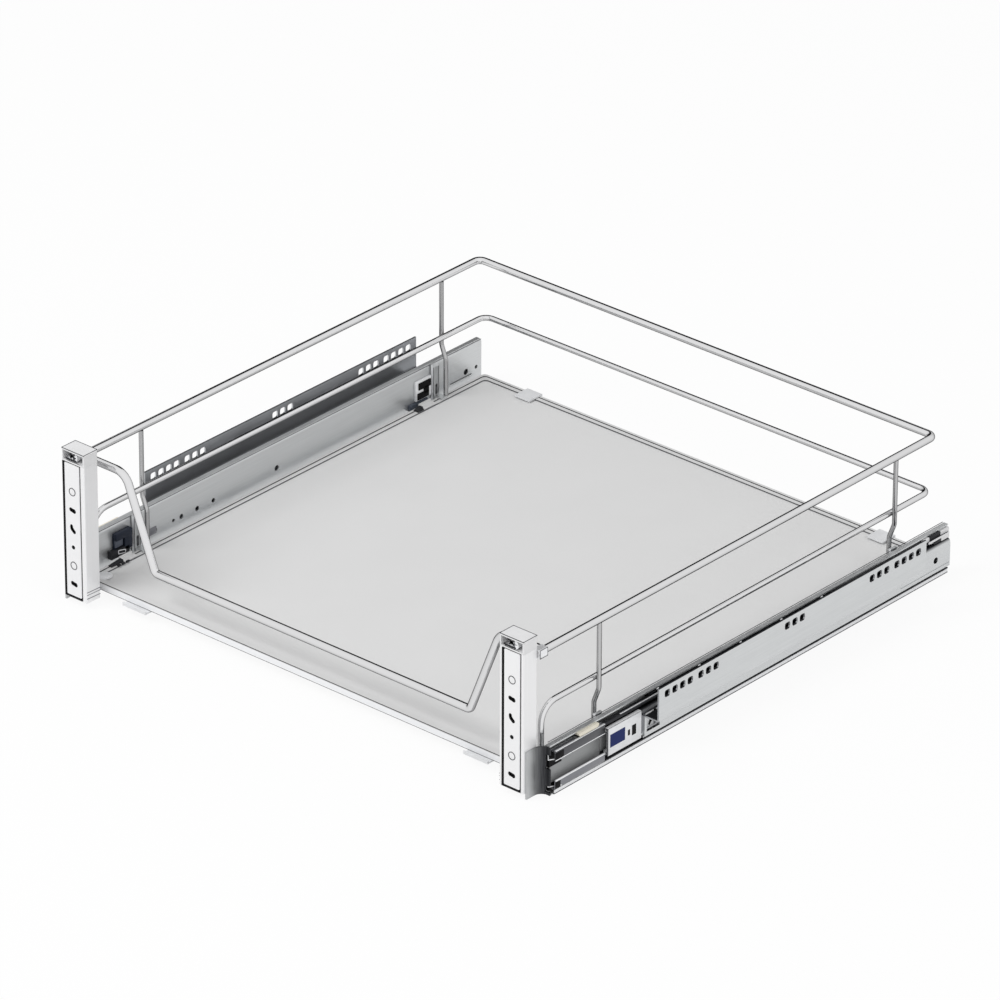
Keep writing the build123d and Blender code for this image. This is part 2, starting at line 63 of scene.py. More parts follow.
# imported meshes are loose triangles: corners closer than this are one corner
MERGE_DISTANCE = 0.002 * MM


def at(x, y, z):
    """A point given in millimetres, with its depth from the front, in the frame's metres."""
    return Vector((x, y + FRONT_DEPTH, z)) * MM


def linear(code):
    """sRGB hex to linear RGBA."""
    channels = [int(code[i:i + 2], 16) / 255 for i in (0, 2, 4)]
    return [c / 12.92 if c <= 0.04045 else ((c + 0.055) / 1.055) ** 2.4 for c in channels] + [1.0]


def darker(colour, share):
    """A share of a linear colour, opaque."""
    return [channel * share for channel in colour[:3]] + [1.0]


def swatch(name, description, code):
    """A colour that the user can change, given as sRGB hex."""
    limits = {"subtype": "COLOR", "size": 4, "min": 0, "max": 1}
    return FloatVectorProperty(name=name, description=description, default=linear(code), **limits)


def number(name, description, default, low=0, **more):
    """A number that the user can change, with its lowest value."""
    return FloatProperty(name=name, description=description, default=default, min=low, **more)


def length(name, description, millimetres):
    """A length in metres with its default in millimetres."""
    return number(name, description, millimetres * MM, unit="LENGTH")


class DrawerSizes(bpy.types.PropertyGroup):
    top_wire: length("Top rail radius", "Radius of the upper basket rail", 3.2)
    lower_wire: length("Lower rail radius", "Radius of the second basket rail", 2.5)
    stay_wire: length("Stay radius", "Radius of the upright stays", 2.0)
    dip_wire: length("Front rail radius", "Radius of the dipped front rail", 3.5)
    corner_bend: length("Corner bend", "Back corners of the top rail", 6.5)
    lower_bend: length("Lower corner bend", "Back corners of the second rail", 9.0)
    leg_bend: length("Leg bend", "Second rail's bend down to the tray", 17.0)
    edge_break: length("Edge break", "Rounding left on cut and folded edges", 0.18)


class DrawerFinish(bpy.types.PropertyGroup):
    chrome: swatch("Chrome", "Plated wire", "FAFAFB")
    zinc: swatch("Zinc", "Zinc-plated sheet steel", "D3D5D6")
    # partly painted shade on the mouths and the catch window
    dark_zinc: swatch("Dark zinc", "Darker plating of mouths and pads", "85868B")
    aluminium: swatch("Aluminium", "Uprights", "F1F1F2")
    tray: swatch("Tray", "Coated tray border", "DADADA")
    panel: swatch("Panel", "Floor panel", "DCDCDC")
    # painted shade on the plate faces toward the basket
    painted_shade_inner_zinc: swatch("Inner zinc", "Plate faces toward the basket", "BFC1C5")
    # painted shade: black of the middle rails and cages, the plates' shelves and the bracket's
    # far bend
    painted_shade_black_zinc: swatch("Black zinc", "Middle rails and ball cages", "2B2C30")
    rubber: swatch("Rubber", "Seals", "0C0C0E")
    navy: swatch("Navy", "Latches and catches", "1D2330")
    slate: swatch("Slate", "Fingers and feet of the latches", "474D59")
    dark: swatch("Dark plastic", "Stops and clips", "2A2B2E")
    cream: swatch("Cream", "Guide pads", "EDE7D6")
    white: swatch("White", "Housings and labels", "F2F3F5")
    label_blue: swatch("Label blue", "Block on the label", "1B2961")


class StudioSettings(bpy.types.PropertyGroup):
    world: number("Sky", "Strength of the soft light all round", 0.558)
    key: number("Key lamp", "Power of the large soft lamp", 80.0, unit="POWER")
    fill: number("Fill lamp", "Power of the lamp at the right", 30.0, unit="POWER")
    lens: number("Lens", "Focal length on a 36 mm sensor", 299.75, low=1)
    wire_sides: IntProperty(name="Wire sides", description="Facets of a wire", default=28, min=8)


# materials


def add(owner, kind, settings=None, links=None):
    """One node with its settings; links are values or the outputs that feed its inputs."""
    tree = owner.node_tree
    node = tree.nodes.new("ShaderNode" + kind)
    for name, value in (settings or {}).items():
        setattr(node, name, value)
    for name, value in (links or {}).items():
        if isinstance(value, bpy.types.NodeSocket):
            tree.links.new(value, node.inputs[name])
        else:
            node.inputs[name].default_value = value
    return node


def link(owner, output, node, name):
    """Feeds an output to a named input of another node."""
    owner.node_tree.links.new(output, node.inputs[name])


def empty_material(name):
    """Node material without nodes."""
    material = bpy.data.materials.new(name)
    material.use_nodes = True
    material.node_tree.nodes.clear()
    return material


def start_material(name, constants=None):
    """Material with its surface shader, and the shader's constant settings."""
    material = empty_material(name)
    shader = add(material, "BsdfPrincipled", links=constants)
    add(material, "OutputMaterial", links={"Surface": shader.outputs["BSDF"]})
    return material, shader


def noise(material, grain, detail):
    """Noise on Object coordinates, with the size of its grain in millimetres along each axis."""
    coordinates = add(material, "TexCoord")
    scale = [1 / (size * MM) for size in grain]
    places = {"Vector": coordinates.outputs["Object"], "Scale": scale}
    mapping = add(material, "Mapping", links=places)
    pattern = {"Vector": mapping.outputs["Vector"], "Scale": 1.0}
    pattern.update({"Detail": detail, "Roughness": 0.55})
    return add(material, "TexNoise", links=pattern).outputs["Fac"]


def spread(material, value, low=0.0, high=1.0):
    """Maps the middle of a noise to a range."""
    ends = {"Value": value, "From Min": 0.3, "From Max": 0.7, "To Min": low, "To Max": high}
    return add(material, "MapRange", links=ends).outputs["Result"]


def vary(material, shader, colour, share, darkest):
    """Base colour that wanders between its tone and a darker share of it."""
    tones = {0: share, 6: darker(colour, darkest), 7: colour}
    tone = add(material, "Mix", {"data_type": "RGBA"}, tones)
    link(material, tone.outputs[2], shader, "Base Color")


def raise_surface(material, shader, height, distance):
    """Relief of a pattern, its depth in millimetres."""
    relief = {"Height": height, "Distance": distance * MM, "Strength": 1.0}
    bump = add(material, "Bump", links=relief)
    link(material, bump.outputs["Normal"], shader, "Normal")


def chrome_plate(name, colour, tint=0.8):
    """Bright chrome over drawn wire: a hard mirror that darkens toward its outline."""
    constants = {
        "Base Color": colour,
        "Metallic": 1.0,
        "Specular Tint": linear("3A3C40"),
        "Coat Weight": 1.0,
        "Coat IOR": 1.0,
        "Coat Tint": (tint, tint, tint, 1.0),
    }
    material, shader = start_material(name, constants)
    # polishing leaves patches a few centimetres long
    patches = noise(material, (20, 20, 20), 2.0)
    link(material, spread(material, patches, 0.05, 0.11), shader, "Roughness")
    return material


def zinc_sheet(name, metallic, rough):
    """Rolled zinc-plated sheet before its colour: streaks along the rolling, cloudy plating."""
    material, shader = start_material(name, {"Metallic": metallic})
    # streaks are under a millimetre wide and some centimetres long
    streaks = noise(material, (0.9, 60, 0.9), 4.0)
    raise_surface(material, shader, streaks, 0.02)
    # the bloom of the plating is one to three centimetres across
    bloom = noise(material, (14, 30, 14), 2.0)
    link(material, spread(material, bloom, rough - 0.05, rough + 0.07), shader, "Roughness")
    return material, shader, streaks


def zinc_steel(name, colour, metallic=0.75, rough=0.36):
    """Zinc-plated rolled sheet: soft grey metal, a little darker in its streaks."""
    material, shader, streaks = zinc_sheet(name, metallic, rough)
    vary(material, shader, colour, spread(material, streaks), 0.93)
    return material


def zinc_plate_with_painted_shade(name, colour, inner, painted_shade_shelf, sign):
    """Zinc-plated plate with painted shade: clean outside, darker toward the basket and black on
    top, by the way each face is turned.
    """
    material, shader, streaks = zinc_sheet(name, metallic=0.75, rough=0.37)
    coordinates = add(material, "TexCoord")
    normal = add(material, "SeparateXYZ", links={"Vector": coordinates.outputs["Normal"]})
    # painted shade: faces turned toward the basket take the darker inner colour
    outward = {"Value": normal.outputs["X"], "From Min": -0.4 * sign, "From Max": 0.4 * sign}
    outward = add(material, "MapRange", links=outward)
    # painted shade: faces turned upward take the black of the shelf
    shelf_shade_mask = {"Value": normal.outputs["Z"], "From Min": 0.4, "From Max": 0.8}
    shelf_shade_mask = add(material, "MapRange", links=shelf_shade_mask)
    tones = {0: outward.outputs["Result"], 6: inner, 7: colour}
    tone = add(material, "Mix", {"data_type": "RGBA"}, tones)
    tones = {0: shelf_shade_mask.outputs["Result"], 6: tone.outputs[2], 7: painted_shade_shelf}
    tone = add(material, "Mix", {"data_type": "RGBA"}, tones)
    streaked = {0: tone.outputs[2], "Scale": spread(material, streaks, 0.93, 1.0)}
    tone = add(material, "VectorMath", {"operation": "SCALE"}, streaked)
    link(material, tone.outputs[0], shader, "Base Color")
    return material


def bent_zinc_painted_shade(name, near, far, start, end):
    """Brushed zinc-plated sheet with painted shade that darkens it along its bend, from one depth
    to another.
    """
    material, shader = start_material(name, {"Metallic": 0.6, "Roughness": 0.42})
    coordinates = add(material, "TexCoord")
    places = add(material, "SeparateXYZ", links={"Vector": coordinates.outputs["Object"]})
    ends = {
        "Value": places.outputs["Y"],
        "From Min": at(0, start, 0).y,
        "From Max": at(0, end, 0).y,
    }
    along = add(material, "MapRange", {"interpolation_type": "SMOOTHSTEP"}, ends)
    # brushing marks run up the bend, under a millimetre wide
    brushed = noise(material, (0.8, 0.8, 25), 3.0)
    marks = {0: brushed, 1: 0.3, 2: along.outputs["Result"]}
    marked = add(material, "Math", {"operation": "MULTIPLY_ADD"}, marks)
    centred = {0: marked.outputs[0], 1: 0.15}
    centred = add(material, "Math", {"operation": "SUBTRACT", "use_clamp": True}, centred)
    # painted shade: colour runs from near to far along the bend
    tone = add(material, "Mix", {"data_type": "RGBA"}, {0: centred.outputs[0], 6: near, 7: far})
    link(material, tone.outputs[2], shader, "Base Color")
    raise_surface(material, shader, brushed, 0.02)
    return material


def anodised_aluminium(name, colour):
    """Satin anodised extrusion: pale, with die lines half a millimetre wide along its length."""
    material, shader = start_material(name, {"Metallic": 0.35})
    lines = noise(material, (0.5, 0.5, 70), 3.0)
    vary(material, shader, colour, spread(material, lines), 0.97)
    link(material, spread(material, lines, 0.32, 0.42), shader, "Roughness")
    raise_surface(material, shader, lines, 0.01)
    return material


def powder_coat(name, colour, rough=0.42):
    """Powder-coated steel: even colour with an orange-peel skin of a millimetre or so."""
    material, shader = start_material(name)
    peel = noise(material, (1.4, 1.4, 1.4), 2.0)
    vary(material, shader, colour, spread(material, noise(material, (60, 60, 60), 2.0)), 0.985)
    link(material, spread(material, peel, rough - 0.04, rough + 0.06), shader, "Roughness")
    raise_surface(material, shader, peel, 0.02)
    return material


def moulded_plastic(name, colour, rough=0.4, specular=0.5):
    """Injection-moulded acetal or ABS: spark-eroded grain of half a millimetre, soft gloss."""
    material, shader = start_material(name, {"Specular IOR Level": specular})
    grain = noise(material, (0.45, 0.45, 0.45), 2.0)
    vary(material, shader, colour, spread(material, noise(material, (9, 9, 9), 2.0)), 0.93)
    link(material, spread(material, grain, rough - 0.05, rough + 0.08), shader, "Roughness")
    raise_surface(material, shader, grain, 0.015)
    return material


def make_materials(finish):
    """Every finish by its short name."""
    zinc, dark_zinc, white, blue = finish.zinc, finish.dark_zinc, finish.white, finish.label_blue
    # painted shade: the black of the middle rails, cages, plate shelves and the bracket's far
    # bend
    shade_black, tones = finish.painted_shade_black_zinc, (zinc, finish.painted_shade_inner_zinc, finish.painted_shade_black_zinc)
    # painted shade along the bracket's bend, from darkened zinc to black
    bend = {"near": darker(zinc, 0.78), "far": shade_black, "start": 1.5, "end": 19.0}
    return {
        # bright plated wire: white highlights between dark outlines
        "chrome": chrome_plate("chrome_plated_wire", finish.chrome),
        # duller plating on the thin stays
        "stay": chrome_plate("chrome_plated_stay", darker(finish.chrome, 0.85), tint=0.66),
        # pale satin sheet with faint streaks
        "zinc": zinc_steel("zinc_plated_steel", zinc),
        # nearly white, glossier: the pale collars, and painted highlights on edges, beads and
        # runways
        "bright_zinc": zinc_steel("pale_zinc_painted_highlight", white, metallic=0.4, rough=0.3),
        # inside of the middle rail: mid grey without highlights
        "web": zinc_steel("matt_zinc_web", darker(zinc, 0.52), metallic=0.2, rough=0.5),
        # soft dark grey plating, its darkness partly painted shade on the mouth and the catch
        # window
        "dark_zinc": zinc_steel("dark_zinc_plated_steel", dark_zinc),
        # painted shade on the upper lip: charcoal with a faint sheen
        "lip_shade": zinc_steel("zinc_steel_painted_lip_shade", darker(dark_zinc, 0.42)),
        # thin dark ring round a rivet
        "rim": zinc_steel("rolled_rivet_rim", darker(dark_zinc, 0.3)),
        # painted shade: satin black of the middle rails and cages deep between the flanges
        "shaded": zinc_steel("zinc_steel_painted_shade_black", shade_black, metallic=0.5, rough=0.5),
        # stepped plates with painted shade: light outer walls, darker faces toward the basket,
        # black shelves
        "plate_right": zinc_plate_with_painted_shade("zinc_plated_plate_right", *tones, SIGN["right"]),
        "plate_left": zinc_plate_with_painted_shade("zinc_plated_plate_left", *tones, SIGN["left"]),
        # brushed bend with painted shade: light in front, dark where it turns away
        "bracket": bent_zinc_painted_shade("brushed_zinc_bracket_painted_shade", **bend),
        # even and nearly white, with fine lines
        "aluminium": anodised_aluminium("anodised_aluminium", finish.aluminium),
        # soft, even light grey
        "tray": powder_coat("powder_coated_steel", finish.tray),
        # painted highlight on the border's outer face
        "hem": powder_coat("powder_coat_painted_highlight", white),
        # folds and joints in shade: matt dark lines
        "seam": powder_coat("shaded_fold", darker(dark_zinc, 0.35), rough=0.6),
        # floor: matt pale grey without highlights
        "panel": powder_coat("matt_laminate_panel", finish.panel, rough=0.6),
        # silky off-white of caps and stops
        "cap": moulded_plastic("white_acetal_cap", darker(finish.aluminium, 0.9)),
        # pale grey, a little translucent looking
        "clip": moulded_plastic("pale_nylon_clip", darker(white, 0.86)),
        # dull black without gloss
        "rubber": moulded_plastic("black_epdm_rubber", finish.rubber, rough=0.6, specular=0.12),
        # deep blue-black with a weak sheen
        "navy": moulded_plastic("navy_acetal", finish.navy, specular=0.2),
        # blue-grey with a soft sheen
        "slate": moulded_plastic("slate_acetal", finish.slate),
        # matt charcoal
        "dark": moulded_plastic("dark_nylon", finish.dark, rough=0.5, specular=0.2),
        # warm pale guide pads
        "cream": moulded_plastic("cream_acetal", finish.cream),
        # clean cool white
        "white": moulded_plastic("white_abs", white),
        # coated paper: white and duller than the housing
        "label": moulded_plastic("label_paper", white, rough=0.5),
        # flat dark blue ink
        "label_blue": moulded_plastic("label_print_blue", blue, rough=0.5, specular=0.15),
    }


MATERIALS = {}


def material(key):
    """A finish by its short name; all are made once."""
    if not MATERIALS:
        MATERIALS.update(make_materials(bpy.context.scene.drawer_finish))
    return MATERIALS[key]


# shapes


def piece(name, mesh, finishes, body="basket", replaces=(), edge=0.0):
    """Turns a bmesh into a finished piece that rides on a body."""
    data = bpy.data.meshes.new(name)
    bmesh.ops.recalc_face_normals(mesh, faces=mesh.faces)
    mesh.to_mesh(data)
    mesh.free()
    data.polygons.foreach_set("use_smooth", [True] * len(data.polygons))
    data.set_sharp_from_angle(angle=math.radians(30))
    for finish in (finishes,) if isinstance(finishes, str) else finishes:
        data.materials.append(material(finish))
    thing = bpy.data.objects.new(name, data)
    bpy.context.scene.collection.objects.link(thing)
    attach(thing, body)
    if replaces:
        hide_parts(*replaces)
    if edge:
        break_edges(thing, edge)
    return thing


def dress(node, finish, edge=0.0):
    """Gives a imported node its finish, and its cut edges a small round."""
    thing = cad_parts[node]
    thing.data.materials.clear()
    thing.data.materials.append(material(finish))
    if edge:
        break_edges(thing, edge)


def round_off(thing, width, sharp):
    """Live bevel of the edges sharper than an angle in degrees."""
    bevel = thing.modifiers.new("Edge break", "BEVEL")
    bevel.width = width
    bevel.segments = 2
    bevel.limit_method = "ANGLE"
    bevel.angle_limit = math.radians(sharp)
    bevel.use_clamp_overlap = True


def break_edges(thing, edge):
    """Merges loose triangles into flat faces and rounds the edges between them."""
    weld = thing.modifiers.new("Weld", "WELD")
    weld.merge_threshold = MERGE_DISTANCE
    flat = thing.modifiers.new("Flat faces", "DECIMATE")
    flat.decimate_type = "DISSOLVE"
    flat.angle_limit = math.radians(1)
    round_off(thing, edge, 40)
    normals = thing.modifiers.new("Even normals", "WEIGHTED_NORMAL")
    normals.weight = 80


def extrude_ring(mesh, ring, move):
    """Extrudes a ring of edges and returns the new ring."""
    geometry = bmesh.ops.extrude_edge_only(mesh, edges=ring)["geom"]
    verts = [item for item in geometry if isinstance(item, bmesh.types.BMVert)]
    bmesh.ops.translate(mesh, verts=verts, vec=move)
    edges = [item for item in geometry if isinstance(item, bmesh.types.BMEdge)]
    found = set(verts)
    return [edge for edge in edges if set(edge.verts) <= found]


def facing(place, direction):
    """Matrix that puts a flat shape at a place, turned to face a direction."""
    return Matrix.Translation(place) @ direction.to_track_quat("Z", "Y").to_matrix().to_4x4()


def wire(points, bends, radius, sides=None, steps=10):
    """Round wire through corner points, each corner spun to its bend; both ends are closed."""
    sides = sides or bpy.context.scene.drawer_studio.wire_sides
    corners = [Vector(point) for point in points]
    heading = (corners[1] - corners[0]).normalized()
    mesh = bmesh.new()
    start = facing(corners[0], heading)
    bmesh.ops.create_circle(mesh, cap_ends=True, segments=sides, radius=radius, matrix=start)
    ring = list(mesh.edges)
    place = corners[0]
    for corner, after_corner, bend in zip(corners[1:], corners[2:], bends):
        after = (after_corner - corner).normalized()
        turn = heading.angle(after)
        run = bend * math.tan(turn / 2)
        ring = extrude_ring(mesh, ring, corner - heading * run - place)
        axis = heading.cross(after).normalized()
        centre = corner - heading * run + axis.cross(heading) * bend
        spun = bmesh.ops.spin(mesh, geom=ring, cent=centre, axis=axis, angle=turn, steps=steps)
        ring = [item for item in spun["geom_last"] if isinstance(item, bmesh.types.BMEdge)]
        place = corner + after * run
        heading = after
    ring = extrude_ring(mesh, ring, corners[-1] - place)
    bmesh.ops.edgeloop_fill(mesh, edges=ring)
    return mesh


def paint(verts, finish):
    """Gives the faces of new vertices the piece's first, second or later finish."""
    for face in {face for vert in verts for face in vert.link_faces}:
        face.material_index = finish


def block(mesh, low, high, finish=0, sign=1):
    """Box between two corners in millimetres; a sign of -1 puts it on the left."""
    low, high = (at(sign * x, y, z) for x, y, z in (low, high))
    place = Matrix.Translation((low + high) / 2) @ Matrix.Diagonal((*(high - low), 1))
    paint(bmesh.ops.create_cube(mesh, size=1, matrix=place)["verts"], finish)


def soften(mesh, width):
    """Rounds every edge sharper than 30 degrees."""
    mesh.normal_update()
    folds = [edge for edge in mesh.edges if len(edge.link_faces) == 2]
    bevel(mesh, [edge for edge in folds if edge.calc_face_angle(0) > math.radians(30)], width, 2)


def bevel(mesh, geometry, width, segments, affect="EDGES"):
    """Rounds edges or corners, in millimetres."""
    bmesh.ops.bevel(
        mesh,
        geom=geometry,
        offset=width * MM,
        segments=segments,
        profile=0.5,
        affect=affect,
        material=-1,
        clamp_overlap=affect == "EDGES",
    )


def blocks(sign, rows, rounding, sharp=()):
    """New mesh of boxes on one side, rounded or sharp; a row is two corners, maybe a finish."""
    mesh = bmesh.new()
    for low, high, *finish in rows:
        block(mesh, low, high, *finish, sign=sign)
    if rounding:
        soften(mesh, rounding)
    for low, high, *finish in sharp:
        block(mesh, low, high, *finish, sign=sign)
    return mesh


def boxes(name, side, finishes, rows, rounding=0.0, body="basket", sharp=(), replaces=()):
    """Piece of boxes on one side, with its rows as for blocks."""
    mesh = blocks(SIGN[side], rows, rounding, sharp)
    piece(name + "_" + side, mesh, finishes, body, replaces)


def bar(mesh, start, end, across, width, finish=0):
    """Flat bar between two points; across is its thickness as a vector, in millimetres."""
    start, end, across = at(*start), at(*end), Vector(across) * MM
    along = end - start
    side = along.cross(across).normalized() * width * MM
    place = Matrix((along, side, across)).transposed().to_4x4()
    place.translation = (start + end) / 2
    paint(bmesh.ops.create_cube(mesh, size=1, matrix=place)["verts"], finish)


def bar_frame(mesh, corners, across, width, finish=0):
    """Bars along the closed line through some corners."""
    for start, end in zip(corners, corners[1:] + corners[:1]):
        bar(mesh, start, end, across, width, finish)


def disc(mesh, centre, radius, across, sides=20):
    """Short round plug; across is its thickness as a vector, in millimetres."""
    across = Vector(across) * MM
    bmesh.ops.create_cone(
        mesh,
        cap_ends=True,
        segments=sides,
        radius1=radius * MM,
        radius2=radius * MM,
        depth=across.length,
        matrix=facing(at(*centre), across),
    )


def rounded_slot(mesh, start, end, radius, across):
    """Plug with round ends, as it fills a slot."""
    bar(mesh, start, end, across, 2 * radius)
    disc(mesh, start, radius, across)
    disc(mesh, end, radius, across)


def bead_ring(mesh, centre, radius, bead, axis):
    """Round bead spun into a ring, in millimetres."""
    centre, axis = at(*centre), Vector(axis)
    outward = axis.orthogonal().normalized()
    place = facing(centre + outward * radius * MM, axis.cross(outward))
    verts = bmesh.ops.create_circle(mesh, segments=8, radius=bead * MM, matrix=place)["verts"]
    edges = list({edge for vert in verts for edge in vert.link_edges})
    bmesh.ops.spin(
        mesh,
        geom=edges,
        cent=centre,
        axis=axis,
        angle=2 * math.pi,
        steps=28,
        use_merge=True,
        use_duplicate=False,
    )


def cut_front(node, depth):
    """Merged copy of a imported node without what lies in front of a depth; the cut is closed."""
    mesh = bmesh.new()
    mesh.from_mesh(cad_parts[node].data)
    bmesh.ops.remove_doubles(mesh, verts=mesh.verts, dist=MERGE_DISTANCE)
    bmesh.ops.bisect_plane(
        mesh,
        geom=mesh.verts[:] + mesh.edges[:] + mesh.faces[:],
        dist=0.0001 * MM,
        plane_co=at(0, depth, 0),
        plane_no=(0, 1, 0),
        clear_inner=True,
    )
    bmesh.ops.holes_fill(mesh, edges=[edge for edge in mesh.edges if edge.is_boundary], sides=0)
    return mesh


def folded_channel(corners, front, rear, bend):
    """Sheet drawn from front to rear along a line of corners in x and z, each fold rounded."""
    mesh = bmesh.new()
    verts = [mesh.verts.new(at(x, front, z)) for x, z in corners]
    edges = [mesh.edges.new(pair) for pair in zip(verts, verts[1:])]
    made = bmesh.ops.extrude_edge_only(mesh, edges=edges)["geom"]
    moved = [item for item in made if isinstance(item, bmesh.types.BMVert)]
    bmesh.ops.translate(mesh, verts=moved, vec=(0, (rear - front) * MM, 0))
    bevel(mesh, [edge for edge in mesh.edges if len(edge.link_faces) == 2], bend, 4)
    return mesh


# operators


# half the width of the front rail's dip at its top and bottom, and its bends
SHOULDER, FOOT = 204.1 * MM, 172.0 * MM
SHOULDER_BEND, FOOT_BEND = 15 * MM, 5 * MM
# heights between which a stay steps inwards, and its bends
STEP_TOP, STEP_LOW, STEP_BEND = 63.5 * MM, 50 * MM, 8 * MM


def collar_seams():
    """Dark joint round the outer face of each collar."""
    low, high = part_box("rail_collars")
    bottom, top = low.z / MM, high.z / MM
    front, rear, inner, outer, width = 15.4, 24.6, 253.7, 254.0, 0.45
    mesh = bmesh.new()
    for sign in SIGN.values():
        for z in (bottom, top - width):
            block(mesh, (inner, front, z), (outer, rear, z + width), sign=sign)
        for y in (front, rear - width):
            block(mesh, (inner, y, bottom), (outer, y + width, top), sign=sign)
    piece("collar_seams", mesh, "seam")


def top_rail(sizes):
    """Upper wire, bent at both back corners."""
    low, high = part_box("top_rail")
    radius = sizes.top_wire
    x, y, z = high.x - radius, high.y - radius, (low.z + high.z) / 2
    points = [(-x, low.y, z), (-x, y, z), (x, y, z), (x, low.y, z)]
    mesh = wire(points, [sizes.corner_bend] * 2, radius)
    piece("top_rail_wire", mesh, "chrome", replaces=["top_rail"])


def lower_rail(sizes):
    """Second wire, with a leg down to the tray at each front end."""
    low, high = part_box("lower_rail")
    radius = sizes.lower_wire
    x, y, z = high.x - radius, high.y - radius, high.z - radius
    leg = low.y + radius
    left = [(-x, leg, low.z), (-x, leg, z), (-x, y, z)]
    right = [(x, y, z), (x, leg, z), (x, leg, low.z)]
    bends = [sizes.leg_bend, sizes.lower_bend, sizes.lower_bend, sizes.leg_bend]
    mesh = wire(left + right, bends, radius)
    piece("lower_rail_wire", mesh, "chrome", replaces=["lower_rail"])


def dip_rail(sizes):
    """Front wire that dips between the uprights."""
    low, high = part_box("front_dip_rail")
    radius = sizes.dip_wire
    y, top, bottom = (low.y + high.y) / 2, high.z - radius, low.z + radius
    left = [(-high.x, y, top), (-SHOULDER, y, top), (-FOOT, y, bottom)]
    right = [(-x, y, z) for x, y, z in reversed(left)]
    bends = [SHOULDER_BEND, FOOT_BEND, FOOT_BEND, SHOULDER_BEND]
    mesh = wire(left + right, bends, radius)
    piece("front_dip_rail_wire", mesh, "chrome", replaces=["front_dip_rail"])


def stay(sizes, place, side):
    """Upright wire with a step inwards above its foot."""
    node = place + "_stay_" + side
    low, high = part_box(node)
    radius = sizes.stay_wire
    sign = SIGN[side]
    far, near = max(abs(low.x), abs(high.x)), min(abs(low.x), abs(high.x))
    outer, inner = sign * (far - radius), sign * (near + radius)
    y = (low.y + high.y) / 2
    points = [(outer, y, high.z), (outer, y, STEP_TOP)]
    points += [(inner, y, STEP_LOW), (inner, y, low.z)]
    mesh = wire(points, [STEP_BEND] * 2, radius, steps=6)
    piece(node + "_wire", mesh, "stay", replaces=[node])


class DRAWER_OT_basket_rails(bpy.types.Operator):
    """Bend the wires of the basket and finish their collars"""

    bl_idname = "drawer.basket_rails"
    bl_label = "Basket Rails"

    def execute(self, context):
        sizes = context.scene.drawer_sizes
        top_rail(sizes)
        lower_rail(sizes)
        dip_rail(sizes)
        for place in ("front", "rear"):
            for side in SIDES:
                stay(sizes, place, side)
        dress("rail_collars", "bright_zinc", sizes.edge_break)
        collar_seams()
        return {"FINISHED"}


# outlines of the border's section, from its foot up the hem, over the grooved top and back
# round under the panel: inset from the sides and back, inset from the front, height in
# millimetres, and the finish of the face up to the next
# finish 1 paints the groove, steps and foot dark as painted shade; finish 2 paints the outer face
# as a painted highlight
TRAY_RINGS = (
    (0, 0, 9.4, 1),
    (0, 0, 9.9, 2),
    (0, 0, 15.1, 0),
    (0.3, 0.2, 15.4, 0),
    (2.8, 0.5, 15.4, 1),
    (2.8, 0.5, 14.4, 1),
    (3.9, 1.9, 14.4, 1),
    (3.9, 1.9, 15.2, 0),
    (7.7, 8, 15.2, 1),
    (8, 8, 14.2, 0),
    (1.2, 1.2, 14.2, 0),
    (1.2, 1.2, 10.6, 0),
    (8, 8, 10.6, 0),
    (8, 8, 9.4, 0),
)
TRAY_CORNER = 4


def border():
    """One ring of edges, extruded and scaled from each outline to the next."""
    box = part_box("base_frame")
    near, far = outline(box, TRAY_RINGS[0])
    size = far - near
    place = Matrix.Translation((near + far) / 2) @ Matrix.Diagonal((size.x, size.y, 1, 1))
    mesh = bmesh.new()
    made = bmesh.ops.create_grid(mesh, x_segments=1, y_segments=1, size=0.5, matrix=place)
    bevel(mesh, made["verts"], TRAY_CORNER, 4, affect="VERTICES")
    ring = list(mesh.edges)
    bmesh.ops.delete(mesh, geom=mesh.faces[:], context="FACES_ONLY")
    for before, after in zip(TRAY_RINGS, TRAY_RINGS[1:] + TRAY_RINGS[:1]):
        ring = extrude_ring(mesh, ring, (0, 0, 0))
        for face in {face for edge in ring for face in edge.link_faces}:
            face.material_index = before[3]
        near, far = outline(box, before)
        next_near, next_far = outline(box, after)
        middle, size, next_size = (near + far) / 2, far - near, next_far - next_near
        verts = list({vert for edge in ring for vert in edge.verts})
        scale = (next_size.x / size.x, next_size.y / size.y, 1)
        bmesh.ops.scale(mesh, vec=scale, space=Matrix.Translation(-middle), verts=verts)
        move = (next_near + next_far) / 2 - middle
        bmesh.ops.translate(mesh, verts=verts, vec=move)
    bmesh.ops.remove_doubles(mesh, verts=mesh.verts, dist=0.001 * MM)
    finishes = ("tray", "seam", "hem")
    piece("tray_border", mesh, finishes, replaces=["base_frame"])


def outline(box, row):
    """Two corners of an outline, set in from the tray's own."""
    low, high = box
    side, front, height = (value * MM for value in row[:3])
    near = Vector((low.x + side, low.y + front, height))
    return near, Vector((high.x - side, high.y - side, height))


def clip_marks(side):
    """Spring ends of the side clips, beside the keepers, and the plug at the front corner."""
    sign = SIGN[side]
    rows = [
        ((240.6, front, 15.3), (238.8, rear, 16.6))
        for front, rear in ((51, 54), (56, 59), (61, 64.5))
    ]
    rows.append(((242.2, 424, 15.3), (240.2, 431, 16.8)))
    boxes("side_clip_ends", side, "dark", rows, 0.2)
    mesh = bmesh.new()
    disc(mesh, (sign * 237.0, 32.5, 15.35), 6.5, (0, 0, 0.5), sides=32)
    disc(mesh, (sign * 237.0, 32.5, 15.5), 4.6, (0, 0, 0.6), sides=32)
    soften(mesh, 0.12)
    piece("corner_plug_" + side, mesh, "white")


